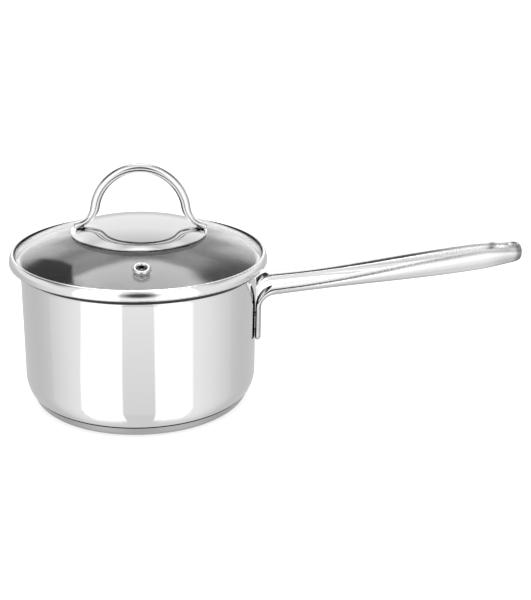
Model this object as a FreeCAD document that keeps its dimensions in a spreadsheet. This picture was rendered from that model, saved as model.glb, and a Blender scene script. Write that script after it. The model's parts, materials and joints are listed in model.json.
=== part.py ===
"""Saucepan with a vented glass lid.

Frame: +Z up, origin on the pan's axis at the underside of the base, +X towards the long handle.
The lid is drawn where it sits when the pan is closed.  All sizes are in millimetres.
"""
import FreeCAD, Part
import Sketcher
import math
import os

Vector = FreeCAD.Vector
doc = FreeCAD.newDocument("saucepan")

SECTION_POINTS = 12     # points that each rod section is drawn through
NOSE_RINGS = 5          # sections in each rounded rod end
NOSE_TURN = 78.0        # how far round its quarter circle a rod end goes, degrees
FINE_STEP = 0.5         # spacing of a rod's stations before they are thinned out
FIT_ROUNDS = 6          # repeats that settle the leg's place on the round wall
CORE_CHAMFER = 1.0
BUSH_ROOF = 0.6         # closed end of the knob's bush
SCREW_END_CHAMFER = 0.5
SCREW_CROWN = 0.6       # the screw head's rounding, as a share of its height
DRILL_MARGIN = 2.0      # how far the vent's drill runs past both faces of the glass

# ---------------------------------------------------------------- driving dimensions

DIMENSIONS = {
    # pan vessel
    "wall_radius": 80.0,          # outside of the straight wall
    "wall_thick": 0.8,
    "corner_radius": 21.2,        # large radius where the wall turns in
    "corner_level": 18.8,         # height where that radius starts
    "corner_drop": 9.5,           # depth of the large radius below its start
    "heel_radius": 3.0,           # small radius between the corner and the floor
    "rim_level": 97.9,            # top of the pouring rim
    "flare_radius": 5.4,          # inside radius of the rim's flare
    "rim_lip": 0.6,               # flat end of the flare
    # encapsulated base
    "cap_thick": 0.7,
    "cap_flat_radius": 69.9,      # flat part of the base that stands on the hob
    "cap_edge_radius": 5.2,
    "cap_side_angle": 19.4,       # lean of the cap's side, degrees from vertical
    "cap_top": 7.6,
    "core_gap": 0.3,
    # long handle, one bent rod
    "rod_nose": 1.3,              # rounding of every cut rod end
    "rod_area": 38.5,             # section area of the drawn rod, 7 mm diameter before pressing
    "leg_foot_level": 44.2,       # lower end of the welded legs
    "leg_pad_thick": 4.1,         # legs pressed flat where they are welded on
    "leg_pad_width": 9.4,
    "weld_gap": 0.15,
    "weld_radius": 1.6,
    "weld_length": 1.2,
    "weld_sink": 0.3,             # how far a weld's blank starts inside the piece it is put on
    "handle_weld_low": 50.0,
    "handle_weld_high": 62.0,
    "bend_radius": 12.0,
    "handle_rise": 6.0,           # slope of the handle beside the pan, degrees
    "handle_rise_end": 8.45,      # slope of the handle at its tip, degrees
    "handle_level": 78.35,        # where the handle's line meets the welded legs' line
    "handle_reach": 268.5,        # tip of the handle, from the pan's axis
    "tip_radius": 6.8,            # centre-line radius of the hairpin
    "leg_taper": 2.74,            # each leg leans in by this many degrees
    "grip_height_root": 7.0,
    "grip_height_max": 14.2,
    "grip_height_tip": 10.8,
    "grip_max_reach": 236.0,
    "leg_station_gap": 3.6,       # distance between the skin's sections
    # lid glass
    "glass_sphere": 197.0,
    "glass_top": 122.9,
    "glass_thick": 3.5,
    "glass_radius": 85.2,
    "knob_hole_radius": 4.6,
    "vent_hole_radius": 4.9,
    # lid rim band, a rolled strip
    "band_radius": 87.3,
    "band_thick": 0.6,
    "band_bottom": 98.2,
    "band_lip_radius": 83.7,
    "band_wall_curve": 8.835,     # the outer wall bulges on this radius,
    "band_wall_turn": 35.0,       # through this many degrees,
    "band_roll": 1.709,           # and then rolls in to the lip on this one
    "skirt_radius": 78.4,
    "skirt_bottom": 93.2,
    "rim_seal_gap": 0.12,
    "rim_seal_reach": 2.4,        # how far the seal runs in under the glass
    "rim_seal_chamfer": 0.6,
    "rim_seal_drop": 0.8,         # below the glass's top edge
    "rim_seal_slope": 0.3,
    # knob
    "plate_radius": 46.1,
    "plate_top": 125.3,
    "plate_edge_top": 118.4,
    "plate_thick": 0.8,
    "arch_rod": 6.4,
    "arch_centre_level": 130.4,
    "arch_radius": 30.5,
    "arch_foot_bend": 16.0,
    "arch_foot_thick": 4.0,
    "arch_foot_width": 8.8,
    "arch_foot_contact": 39.5,
    "arch_foot_reach": 44.6,
    "arch_weld_gap": 0.15,
    "arch_slip": 0.42,            # the arch is welded on this many degrees round the plate's dome
    "arch_station_gap": 3.0,
    # knob fastening
    "boss_radius": 4.0,
    "boss_bottom": 119.3,
    "boss_top": 124.4,
    "screw_radius": 2.5,
    "screw_head_radius": 4.75,
    "screw_head_high": 2.6,
    "screw_socket_radius": 1.75,
    "screw_socket_deep": 1.6,
    "screw_end": 123.4,
    "thread_clearance": 0.05,
    "washer_clearance": 0.15,
    "boss_clearance": 0.3,
    "pad_radius": 12.0,
    "pad_bottom": 122.95,
    "pad_thick": 1.0,
    "seal_radius": 11.0,
    "seal_top": 119.0,
    "seal_thick": 1.2,
    "washer_radius": 9.5,
    "washer_thick": 1.0,
    "washer_gap": 0.05,
    # steam vent
    "vent_reach": 65.8,           # from the lid's axis, along the horizontal
    "vent_azimuth": -88.0,        # degrees from +X
    "eyelet_flange": 5.85,
    "eyelet_bore": 3.0,
    "eyelet_wall": 0.7,
    "eyelet_high": 2.0,
    "eyelet_crimp": 5.6,
    "eyelet_gap": 0.05,           # between the eyelet and the grommet it is crimped on
    "eyelet_edge": 0.3,           # chamfer of the flange's outer edge
    "crimp_chamfer": 0.1,
    "crimp_tail": 0.8,
    "grommet_flange": 5.7,
    "grommet_thick": 0.6,
    "grommet_gap": 0.1,
    "grommet_clearance": 0.14,
}

sheet = doc.addObject("Spreadsheet::Sheet", "Sheet")
for row, (alias, number) in enumerate(DIMENSIONS.items(), start=1):
    sheet.set("A%d" % row, alias)
    sheet.set("B%d" % row, str(number))
    sheet.setAlias("B%d" % row, alias)
doc.recompute()


class Dim:
    """A length that carries its number and the spreadsheet expression it comes from."""

    def __init__(self, value, text):
        self.value = value
        self.text = text

    @staticmethod
    def of(other):
        return other if isinstance(other, Dim) else Dim(float(other), repr(float(other)))

    def join(self, other, sign, value):
        return Dim(value, "(%s %s %s)" % (self.text, sign, other.text))

    def __add__(self, other):
        other = Dim.of(other)
        return self.join(other, "+", self.value + other.value)

    def __sub__(self, other):
        other = Dim.of(other)
        return self.join(other, "-", self.value - other.value)

    def __mul__(self, other):
        other = Dim.of(other)
        return self.join(other, "*", self.value * other.value)

    def __truediv__(self, other):
        other = Dim.of(other)
        return self.join(other, "/", self.value / other.value)

    def root(self):
        return Dim(math.sqrt(self.value), "sqrt(%s)" % self.text)


def cell(alias):
    """A spreadsheet cell as a Dim."""
    return Dim(DIMENSIONS[alias], "Sheet.%s" % alias)


def size(alias):
    """A spreadsheet cell as a plain number."""
    return float(sheet.get(alias))


def sine(alias):
    return Dim(math.sin(math.radians(size(alias))), "sin(Sheet.%s * 1 deg)" % alias)


def cosine(alias):
    return Dim(math.cos(math.radians(size(alias))), "cos(Sheet.%s * 1 deg)" % alias)


# ---------------------------------------------------------------- sketch and body helpers

def new_body(name):
    body = doc.addObject("PartDesign::Body", name)
    body.Label = name
    return body


def origin_plane(body, role):
    for feature in body.Origin.OriginFeatures:
        if feature.Role == role:
            return feature
    raise ValueError(role)


def new_sketch(body, name, role="XZ_Plane"):
    sketch = body.newObject("Sketcher::SketchObject", name)
    sketch.AttachmentSupport = [(origin_plane(body, role), "")]
    sketch.MapMode = "FlatFace"
    return sketch


def arc_centre(start, end, radius):
    """Centre of the minor arc from start to end; a positive radius turns left."""
    half = (end - start) * 0.5
    side = Vector(-half.y, half.x, 0).normalize()
    reach = math.sqrt(max(radius * radius - half.Length ** 2, 0.0))
    return start + half + side * (reach if radius > 0 else -reach)


def draw_outline(sketch, vertices):
    """Closed outline of (across, up) or (across, up, turn, radius) vertices.

    A vertex with a turn of +1 or -1 starts an arc to the next vertex, to the left or to the right.
    Every coordinate and radius is a Dim, and its constraint is bound to the sheet.
    """
    vertices = [tuple(Dim.of(part) for part in vertex) for vertex in vertices]
    points = [Vector(vertex[0].value, vertex[1].value, 0) for vertex in vertices]
    ends = []
    for index, vertex in enumerate(vertices):
        start = points[index]
        end = points[(index + 1) % len(points)]
        if len(vertex) == 2:
            number = sketch.addGeometry(Part.LineSegment(start, end), False)
            ends.append((number, 1, 2))
            continue
        turn = vertex[2].value
        centre = arc_centre(start, end, turn * vertex[3].value)
        circle = Part.Circle(centre, Vector(0, 0, 1), vertex[3].value)
        first, last = (start, end) if turn > 0 else (end, start)
        angles = [math.atan2(point.y - centre.y, point.x - centre.x) for point in (first, last)]
        if angles[1] < angles[0]:
            angles[1] += 2 * math.pi
        number = sketch.addGeometry(Part.ArcOfCircle(circle, angles[0], angles[1]), False)
        ends.append((number, 1, 2) if turn > 0 else (number, 2, 1))
    for index, vertex in enumerate(vertices):
        number, start_point, end_point = ends[index]
        following = ends[(index + 1) % len(ends)]
        sketch.addConstraint(
            Sketcher.Constraint("Coincident", number, end_point, following[0], following[1]))
        bind_point(sketch, number, start_point, vertex[0], vertex[1])
        if len(vertex) == 4:
            bind(sketch, Sketcher.Constraint("Radius", number, vertex[3].value), vertex[3])


def bind(sketch, constraint, dim):
    number = sketch.addConstraint(constraint)
    if "Sheet" in dim.text:
        sketch.setExpression("Constraints[%d]" % number, dim.text)


def bind_point(sketch, number, point, across, up):
    for kind, axis, dim in (("DistanceX", -2, across), ("DistanceY", -1, up)):
        if abs(dim.value) < 1e-9:
            sketch.addConstraint(Sketcher.Constraint("PointOnObject", number, point, axis))
        else:
            bind(sketch, Sketcher.Constraint(kind, number, point, dim.value), dim)


def revolve(body, vertices, name="Profile"):
    """Turn an outline in the XZ plane about the body's Z axis."""
    sketch = new_sketch(body, body.Name + name)
    draw_outline(sketch, vertices)
    turned = body.newObject("PartDesign::Revolution", body.Name + "Turned")
    turned.Profile = sketch
    turned.ReferenceAxis = (sketch, ["V_Axis"])
    turned.Angle = 360.0
    body.Tip = turned
    doc.recompute()
    return turned


def ring(name, inner, outer, bottom, top):
    """A plain washer, or a disc where the inner radius is 0."""
    body = new_body(name)
    revolve(body, [(inner, bottom), (outer, bottom), (outer, top), (inner, top)])
    return body


def spread(stations, spacing):
    """Picks stations about the same distance apart, and keeps the first and the last."""
    reach = [0.0]
    for before, after in zip(stations, stations[1:]):
        reach.append(reach[-1] + (after[0] - before[0]).Length)
    count = max(2, round(reach[-1] / spacing))
    picked = []
    for step in range(count + 1):
        target = reach[-1] * step / count
        nearest = min(range(len(reach)), key=lambda index: abs(reach[index] - target))
        picked.append(stations[nearest])
    return picked


def oval_curve(centre, along, across, thick, wide):
    """A smooth closed oval square to along, with its width lying along across."""
    along = Vector(along).normalize()
    across = Vector(across) - along * along.dot(Vector(across))
    across.normalize()
    normal = along.cross(across)
    points = []
    for step in range(SECTION_POINTS):
        angle = 2 * math.pi * step / SECTION_POINTS
        points.append(centre + across * (0.5 * wide * math.cos(angle))
                      + normal * (0.5 * thick * math.sin(angle)))
    parameters = [step / SECTION_POINTS for step in range(SECTION_POINTS + 1)]
    curve = Part.BSplineCurve()
    curve.interpolate(Points=points, PeriodicFlag=True, Parameters=parameters)
    return curve


def nose_stations(station, outward):
    """Rings beyond a rod's end that shrink along a quarter circle, from the rod outwards."""
    centre, along, across, thick, wide = station
    nose = size("rod_nose")
    rings = []
    for step in range(1, NOSE_RINGS + 1):
        angle = math.radians(NOSE_TURN) * step / NOSE_RINGS
        shrink = 2 * nose * (1 - math.cos(angle))
        ring_centre = centre + outward * (nose * math.sin(angle))
        rings.append((ring_centre, along, across, thick - shrink, wide - shrink))
    return rings


def skinned_rod(name, stations):
    """A solid skin over oval sections; a station is (centre, along, across, thick, wide).

    across is the direction of the section's width, and thick is measured square to it.
    Both ends get a rounded nose.
    """
    first = stations[0]
    last = stations[-1]
    stations = (nose_stations(first, Vector(first[1]).normalize() * -1.0)[::-1] + stations
                + nose_stations(last, Vector(last[1]).normalize()))
    sections = [oval_curve(*station) for station in stations]
    rings = [section.getPoles() for section in sections]
    reach = [0.0]
    for before, after in zip(rings, rings[1:]):
        reach.append(reach[-1] + max((end - start).Length for start, end in zip(before, after)))
    rails = []
    for column in range(len(rings[0])):
        rail = Part.BSplineCurve()
        rail.interpolate(Points=[ring_poles[column] for ring_poles in rings], Parameters=reach)
        rails.append(rail)
    poles = [list(row) for row in zip(*[rail.getPoles() for rail in rails])]
    skin = Part.BSplineSurface()
    skin.buildFromPolesMultsKnots(
        poles, rails[0].getMultiplicities(), sections[0].getMultiplicities(),
        rails[0].getKnots(), sections[0].getKnots(),
        False, True, rails[0].Degree, sections[0].Degree)
    side = skin.toShape()
    caps = [Part.Face(Part.Wire([skin.uIso(reach[end]).toShape()])) for end in (0, -1)]
    shell = Part.Shell([side] + caps)
    shell.sewShape()
    solid = Part.Solid(shell)
    if solid.Volume < 0:
        solid.reverse()
    rod = doc.addObject("Part::Feature", name)
    rod.Label = name
    rod.Shape = solid
    return rod


def blend(low, high, amount):
    """Smooth step from low to high as amount goes from 0 to 1."""
    amount = min(max(amount, 0.0), 1.0)
    return low + (high - low) * amount * amount * (3 - 2 * amount)


# ---------------------------------------------------------------- pan vessel

def build_pan_body():
    """One drawn steel shell: floor, heel, corner, straight wall and flared pouring rim."""
    wall = cell("wall_radius")
    thick = cell("wall_thick")
    corner = cell("corner_radius")
    heel = cell("heel_radius")
    level = cell("corner_level")
    drop = cell("corner_drop")
    flare = cell("flare_radius")
    rim = cell("rim_level")
    corner_x = wall - corner
    run = (corner * corner - drop * drop).root()
    # the heel's centre lies on the line from the corner's centre to the tangent point
    ratio_x = run / corner
    ratio_z = drop / corner
    heel_x = corner_x + run - heel * ratio_x
    heel_z = level - drop + heel * ratio_z
    inner = corner - thick
    heel_in = heel - thick
    flare_x = wall - thick + flare
    flare_z = rim - flare
    body = new_body("pan_body")
    revolve(body, [
        (0, heel_z - heel),
        (heel_x, heel_z - heel, 1, heel),
        (corner_x + run, level - drop, 1, corner),
        (wall, level),
        (wall, flare_z, -1, flare - thick),
        (flare_x, rim - thick),
        (flare_x + cell("rim_lip"), rim - thick),
        (flare_x + cell("rim_lip"), rim),
        (flare_x, rim, 1, flare),
        (wall - thick, flare_z),
        (wall - thick, level, -1, inner),
        (corner_x + inner * ratio_x, level - inner * ratio_z, -1, heel_in),
        (heel_x, heel_z - heel_in),
        (0, heel_z - heel_in),
    ])
    return body, (heel_z - heel)


pan_body, floor_underside = build_pan_body()


# ---------------------------------------------------------------- encapsulated base

def build_base_cap():
    """The pressed steel cap that closes the aluminium core in under the pan."""
    flat = cell("cap_flat_radius")
    edge = cell("cap_edge_radius")
    thick = cell("cap_thick")
    top = cell("cap_top")
    lean_sin = sine("cap_side_angle")
    lean_cos = cosine("cap_side_angle")
    inner = edge - thick
    side_low = edge - edge * lean_sin
    inner_low = edge - inner * lean_sin
    slope = lean_sin / lean_cos
    body = new_body("base_cap")
    revolve(body, [
        (0, 0),
        (flat, 0, 1, edge),
        (flat + edge * lean_cos, side_low),
        (flat + edge * lean_cos + (top - side_low) * slope, top),
        (flat + inner * lean_cos + (top - inner_low) * slope, top),
        (flat + inner * lean_cos, inner_low, -1, inner),
        (flat, thick),
        (0, thick),
    ])
    return body


def build_base_core():
    """The aluminium disc bonded between the pan's floor and the cap."""
    gap = cell("core_gap")
    thick = cell("cap_thick")
    flat = cell("cap_flat_radius")
    edge = cell("cap_edge_radius") - thick - gap
    body = new_body("base_core")
    revolve(body, [
        (0, thick),
        (flat, thick, 1, edge),
        (flat + edge, thick + edge),
        (flat + edge, floor_underside - gap),
        (flat + edge - CORE_CHAMFER, floor_underside),
        (0, floor_underside),
    ])
    return body


base_cap = build_base_cap()
base_core = build_base_core()


# ---------------------------------------------------------------- long handle

def grip_height(reach):
    """Height of the pressed rod at a distance from the pan's axis."""
    root = size("wall_radius") + 2 * size("bend_radius")
    widest = size("grip_max_reach")
    tip = size("handle_reach")
    high = size("grip_height_max")
    if reach < widest:
        return blend(size("grip_height_root"), high, (reach - root) / (widest - root))
    return blend(high, size("grip_height_tip"), (reach - widest) / (tip - widest))


def oval_width(height):
    """Width of an oval of the rod's area."""
    return 4 * size("rod_area") / (math.pi * height)


def leg_stations():
    """Stations of the leg on the -Y side, from its welded foot to the hairpin."""
    pad_thick = size("leg_pad_thick")
    pad_wide = size("leg_pad_width")
    pad_centre = size("wall_radius") + size("weld_gap") + pad_thick / 2
    taper = math.tan(math.radians(size("leg_taper")))
    tip_radius = size("tip_radius")
    tip_thick = oval_width(size("grip_height_tip"))
    tip_centre = size("handle_reach") - tip_thick / 2 - tip_radius
    hairpin_half = tip_radius / math.cos(math.radians(size("leg_taper")))
    rise = math.radians(size("handle_rise"))
    rise_end = math.radians(size("handle_rise_end"))
    bend = size("bend_radius")

    def half_spacing(reach):
        return hairpin_half + taper * (tip_centre - reach)

    pad_x = pad_centre
    for _ in range(FIT_ROUNDS):
        pad_x = math.sqrt(pad_centre ** 2 - half_spacing(pad_x) ** 2)

    def grip_level(reach):
        share = (reach - pad_x) / (size("handle_reach") - pad_x)
        start = math.tan(rise)
        slope = start + 0.5 * share * (math.tan(rise_end) - start)
        return size("handle_level") + (reach - pad_x) * slope

    def plan(reach, level):
        return Vector(reach, -half_spacing(reach), level)

    turn = math.pi / 2 - rise
    tangent = bend * math.tan(turn / 2)
    bend_start = size("handle_level") - tangent
    radial = Vector(pad_x, -half_spacing(pad_x), 0).normalize()
    round_wall = Vector(-radial.y, radial.x, 0)
    lean_angle = math.radians(size("leg_taper"))
    lean = Vector(math.cos(lean_angle), math.sin(lean_angle), 0)
    square = Vector(-lean.y, lean.x, 0)
    up = Vector(0, 0, 1)
    foot = size("leg_foot_level")
    nose = size("rod_nose")
    stations = []
    # welded pad, straight up the wall
    steps = round((bend_start - foot) / FINE_STEP)
    for step in range(steps):
        level = foot + nose + (bend_start - foot - nose) * step / steps
        stations.append((plan(pad_x, level), up, round_wall, pad_thick, pad_wide))
    # bend away from the wall
    steps = round(turn * bend / FINE_STEP)
    for step in range(steps):
        share = step / steps
        angle = turn * share
        reach = pad_x + bend * (1 - math.cos(angle))
        along = lean * math.sin(angle) + up * math.cos(angle)
        across = round_wall * (1 - share) + square * share
        high = blend(pad_thick, size("grip_height_root"), share)
        wide = blend(pad_wide, oval_width(size("grip_height_root")), share)
        centre = plan(reach, bend_start + bend * math.sin(angle))
        stations.append((centre, along, across, high, wide))
    # grip, from the bend to the hairpin
    first = pad_x + bend * (1 - math.cos(turn))
    steps = round((tip_centre - first) / FINE_STEP)
    for step in range(steps):
        reach = first + (tip_centre - first) * step / steps
        centre = plan(reach, grip_level(reach))
        ahead = plan(reach + FINE_STEP, grip_level(reach + FINE_STEP)) - centre
        high = grip_height(reach)
        stations.append((centre, ahead, square, high, oval_width(high)))
    # half of the hairpin
    slope = Vector(1, 0, math.tan(rise_end)).normalize()
    steps = round(math.pi / 2 * tip_radius / FINE_STEP)
    for step in range(steps + 1):
        angle = math.pi / 2 * step / steps
        reach = tip_centre + tip_radius * math.sin(angle)
        level = grip_level(tip_centre) + (reach - tip_centre) * math.tan(rise_end)
        centre = Vector(reach, -tip_radius * math.cos(angle), level)
        along = slope * math.cos(angle) + Vector(0, math.sin(angle), 0)
        inward = Vector(0, math.cos(angle), 0) - slope * math.sin(angle)
        high = grip_height(reach)
        stations.append((centre, along, inward, high, oval_width(high)))
    return spread(stations, size("leg_station_gap"))


def mirrored(vector):
    return Vector(vector.x, -vector.y, vector.z)


def build_long_handle():
    """The hairpin: the leg on the -Y side, and the same stations back along the +Y side."""
    near = leg_stations()
    far = []
    for centre, along, across, thick, wide in reversed(near[:-1]):
        far.append((mirrored(centre), mirrored(along) * -1.0, mirrored(across), thick, wide))
    return skinned_rod("long_handle", near + far)


long_handle = build_long_handle()


# ---------------------------------------------------------------- lid glass, band and seal

def sphere_height(centre_z, radius, across):
    """Height of a sphere's surface above the frame's zero at a distance from the axis."""
    return centre_z + (radius * radius - across * across).root()


glass_centre = cell("glass_top") - cell("glass_sphere")
glass_inner = cell("glass_sphere") - cell("glass_thick")
vent_tilt = math.asin(size("vent_reach") / size("glass_sphere"))
vent_turn = FreeCAD.Rotation(Vector(0, 0, 1), size("vent_azimuth"))
vent_axis = vent_turn.multVec(Vector(math.sin(vent_tilt), 0, math.cos(vent_tilt)))
vent_seat = Vector(0, 0, glass_centre.value) + vent_axis * size("glass_sphere")
vent_placement = FreeCAD.Placement(vent_seat, FreeCAD.Rotation(Vector(0, 0, 1), vent_axis))


def build_lid_glass():
    """A tempered dome with a hole for the knob's boss and a hole for the steam vent."""
    outer = cell("glass_sphere")
    edge = cell("glass_radius")
    hole = cell("knob_hole_radius")
    body = new_body("lid_glass")
    revolve(body, [
        (hole, sphere_height(glass_centre, glass_inner, hole), -1, glass_inner),
        (edge, sphere_height(glass_centre, glass_inner, edge)),
        (edge, sphere_height(glass_centre, outer, edge), 1, outer),
        (hole, sphere_height(glass_centre, outer, hole)),
    ])
    before = body.Shape.Volume
    drill = body.newObject("PartDesign::SubtractiveCylinder", "vent_hole")
    drill.AttachmentSupport = [(origin_plane(body, "XY_Plane"), "")]
    drill.MapMode = "FlatFace"
    drill.setExpression("Radius", "Sheet.vent_hole_radius")
    drill.setExpression("Height", "Sheet.glass_thick + %.1f" % (2 * DRILL_MARGIN))
    drill_start = vent_seat - vent_axis * (size("glass_thick") + DRILL_MARGIN)
    drill.AttachmentOffset = FreeCAD.Placement(drill_start, vent_placement.Rotation)
    body.Tip = drill
    doc.recompute()
    removed = before - body.Shape.Volume
    expected = math.pi * size("vent_hole_radius") ** 2 * size("glass_thick")
    if abs(removed - expected) > 0.05 * expected:
        raise ValueError("the vent hole removed %.1f mm3, not %.1f" % (removed, expected))
    return body


def build_lid_rim_band():
    """One roll-formed strip: lip over the glass, outer wall, seat on the pan's rim, and skirt."""
    outer = cell("band_radius")
    thick = cell("band_thick")
    bottom = cell("band_bottom")
    curve = cell("band_wall_curve")
    roll = cell("band_roll")
    turn_sin = sine("band_wall_turn")
    turn_cos = cosine("band_wall_turn")
    lip = cell("band_lip_radius")
    skirt = cell("skirt_radius")
    low = cell("skirt_bottom")
    small = thick * 2.0
    # centre of the roll, on the line from the bulge's centre to where the two meet
    knee_x = outer - curve + (curve - roll) * turn_cos
    knee_z = bottom + small + (curve - roll) * turn_sin
    body = new_body("lid_rim_band")
    revolve(body, [
        (skirt, low),
        (skirt, bottom - small, -1, small),
        (skirt + small, bottom),
        (outer - small, bottom, 1, small),
        (outer, bottom + small, 1, curve),
        (knee_x + roll * turn_cos, knee_z + roll * turn_sin, 1, roll),
        (knee_x, knee_z + roll),
        (lip + thick, knee_z + roll, 1, thick),
        (lip, knee_z + roll - thick),
        (lip + thick, knee_z + roll - thick),
        (knee_x, knee_z + roll - thick, -1, roll - thick),
        (knee_x + (roll - thick) * turn_cos, knee_z + (roll - thick) * turn_sin, -1, curve - thick),
        (outer - thick, bottom + small, -1, small - thick),
        (outer - small, bottom + thick),
        (skirt + small, bottom + thick, 1, small + thick),
        (skirt - thick, bottom - small),
        (skirt - thick, low),
    ])
    return body


def build_rim_seal():
    """Silicone ring that beds the glass's edge in the band."""
    gap = cell("rim_seal_gap")
    chamfer = cell("rim_seal_chamfer")
    outer = cell("band_radius") - cell("band_thick") - gap
    seat = cell("band_bottom") + cell("band_thick") + gap
    edge = cell("glass_radius")
    lip_in = edge - cell("rim_seal_reach")
    top = sphere_height(glass_centre, cell("glass_sphere"), edge) - cell("rim_seal_drop")
    # the seal's outside stays a gap inside the band's bulge
    curve = cell("band_wall_curve") - cell("band_thick") - gap
    above = top - cell("band_bottom") - cell("band_thick") * 2.0
    top_x = cell("band_radius") - cell("band_wall_curve") + (curve * curve - above * above).root()
    body = new_body("rim_seal")
    revolve(body, [
        (lip_in, seat),
        (outer - chamfer, seat),
        (outer, seat + chamfer),
        (top_x, top),
        (edge + gap, top),
        (edge + gap, sphere_height(glass_centre, glass_inner, edge) - gap),
        (lip_in, sphere_height(glass_centre, glass_inner, lip_in) - gap - cell("rim_seal_slope")),
    ])
    return body


lid_glass = build_lid_glass()
lid_rim_band = build_lid_rim_band()
rim_seal = build_rim_seal()


# ---------------------------------------------------------------- knob

plate_drop = cell("plate_top") - cell("plate_edge_top")
plate_chord = cell("plate_radius") * cell("plate_radius")
plate_sphere = (plate_chord + plate_drop * plate_drop) / (plate_drop * 2.0)
plate_centre = cell("plate_top") - plate_sphere


def build_knob_plate():
    """The domed steel disc that spreads the knob's load on the glass."""
    edge = cell("plate_radius")
    thick = cell("plate_thick")
    inner = plate_sphere - thick
    round_edge = thick / 2.0
    body = new_body("knob_plate")
    rim_in = edge - round_edge
    revolve(body, [
        (0, plate_centre + inner, -1, inner),
        (rim_in, sphere_height(plate_centre, inner, rim_in)),
        (edge, sphere_height(plate_centre, plate_sphere, edge) - round_edge),
        (rim_in, sphere_height(plate_centre, plate_sphere, rim_in), 1, plate_sphere),
        (0, cell("plate_top")),
    ])
    return body


def arch_stations():
    """Stations of the arch's +X half, from the top of the arch down to the end of its foot."""
    rod = size("arch_rod")
    main = size("arch_radius")
    bend = size("arch_foot_bend")
    foot_thick = size("arch_foot_thick")
    foot_wide = size("arch_foot_width")
    contact = size("arch_foot_contact")
    tilt = math.asin(contact / plate_sphere.value)
    normal = Vector(math.sin(tilt), 0, math.cos(tilt))
    outward = Vector(math.cos(tilt), 0, -math.sin(tilt))
    sole = plate_sphere.value + size("arch_weld_gap") + foot_thick / 2
    foot_centre = Vector(0, 0, plate_centre.value) + normal * sole
    arch_centre = Vector(0, 0, size("arch_centre_level"))
    # the foot bend touches the arch's circle from outside and the foot's line from above
    base = foot_centre + normal * bend - arch_centre
    middle = base.dot(outward)
    gap = base.Length ** 2 - (main + bend) ** 2
    root = math.sqrt(middle * middle - gap)
    back = middle - root if abs(middle - root) < abs(middle) else middle + root
    bend_centre = foot_centre + normal * bend - outward * back
    join = math.atan2(bend_centre.z - arch_centre.z, bend_centre.x)
    across = Vector(0, 1, 0)
    stations = []
    # from the top of the arch down its side
    steps = round((math.pi / 2 - join) * main / FINE_STEP)
    for step in range(steps):
        angle = math.pi / 2 + (join - math.pi / 2) * step / steps
        spoke = Vector(math.cos(angle), 0, math.sin(angle))
        along = Vector(spoke.z, 0, -spoke.x)
        stations.append((arch_centre + spoke * main, along, across, rod, rod))
    # bend outwards on to the plate, where the rod is pressed flat
    start = join + math.pi
    finish = math.atan2(-normal.z, -normal.x) + 2 * math.pi
    steps = round((finish - start) * bend / FINE_STEP)
    for step in range(steps):
        angle = start + (finish - start) * step / steps
        spoke = Vector(math.cos(angle), 0, math.sin(angle))
        thick = blend(rod, foot_thick, 1.5 * step / steps)
        wide = blend(rod, foot_wide, step / steps)
        along = Vector(-spoke.z, 0, spoke.x)
        stations.append((bend_centre + spoke * bend, along, across, thick, wide))
    # straight foot
    foot_start = bend_centre - normal * bend
    length = (size("arch_foot_reach") - foot_start.x) / outward.x - size("rod_nose")
    steps = round(length / FINE_STEP)
    for step in range(steps + 1):
        centre = foot_start + outward * (length * step / steps)
        stations.append((centre, outward, across, foot_thick, foot_wide))
    return spread(stations, size("arch_station_gap"))


plate_middle = Vector(0, 0, plate_centre.value)
slip = FreeCAD.Rotation(Vector(0, 1, 0), size("arch_slip"))
arch_placement = FreeCAD.Placement(plate_middle - slip.multVec(plate_middle), slip)


def build_knob_arch():
    """The arch a hand lifts the lid by: one bent rod with pressed feet."""
    right = arch_stations()
    left = []
    for centre, along, across, thick, wide in reversed(right[1:]):
        centre = Vector(-centre.x, 0, centre.z)
        along = Vector(along.x, 0, -along.z)
        left.append((centre, along, across, thick, wide))
    arch = skinned_rod("knob_arch", left + right)
    arch.Placement = arch_placement
    return arch


knob_plate = build_knob_plate()
knob_arch = build_knob_arch()


# ---------------------------------------------------------------- welds

def weld_nugget(name, start, direction, tools):
    """A spot weld: a short cylinder, less the two pieces that it joins."""
    blank = doc.addObject("Part::Cylinder", name + "_blank")
    blank.setExpression("Radius", "Sheet.weld_radius")
    blank.setExpression("Height", "Sheet.weld_length")
    blank.Placement = FreeCAD.Placement(start, FreeCAD.Rotation(Vector(0, 0, 1), direction))
    shape = blank
    for number, tool in enumerate(tools):
        cut = doc.addObject("Part::Cut", "%s_trim%d" % (name, number))
        cut.Base = shape
        cut.Tool = tool
        shape = cut
    doc.recompute()
    return shape


def build_welds(name, nuggets):
    """One node for spot welds that are alike: a compound of separate solids."""
    group = doc.addObject("Part::Compound", name)
    group.Label = name
    group.Links = nuggets
    doc.recompute()
    return group


def build_handle_welds():
    """Two spot welds behind each leg of the long handle."""
    nuggets = []
    pad = leg_stations()[0][0]
    for side in (-1, 1):
        outward = Vector(pad.x, side * abs(pad.y), 0).normalize()
        for place in ("low", "high"):
            level = size("handle_weld_%s" % place)
            start = outward * (size("wall_radius") - size("weld_sink")) + Vector(0, 0, level)
            name = "handle_weld_%s_%s" % ("near" if side < 0 else "far", place)
            nuggets.append(weld_nugget(name, start, outward, [pan_body, long_handle]))
    return build_welds("handle_welds", nuggets)


def build_arch_welds():
    """One spot weld under each foot of the arch."""
    nuggets = []
    tilt = math.asin(size("arch_foot_contact") / plate_sphere.value)
    for side in (-1, 1):
        normal = slip.multVec(Vector(side * math.sin(tilt), 0, math.cos(tilt)))
        start = plate_middle + normal * (plate_sphere.value - size("weld_sink"))
        name = "arch_weld_%s" % ("left" if side < 0 else "right")
        nuggets.append(weld_nugget(name, start, normal, [knob_plate, knob_arch]))
    return build_welds("arch_welds", nuggets)


handle_welds = build_handle_welds()
arch_welds = build_arch_welds()


# ---------------------------------------------------------------- knob fastening

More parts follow.
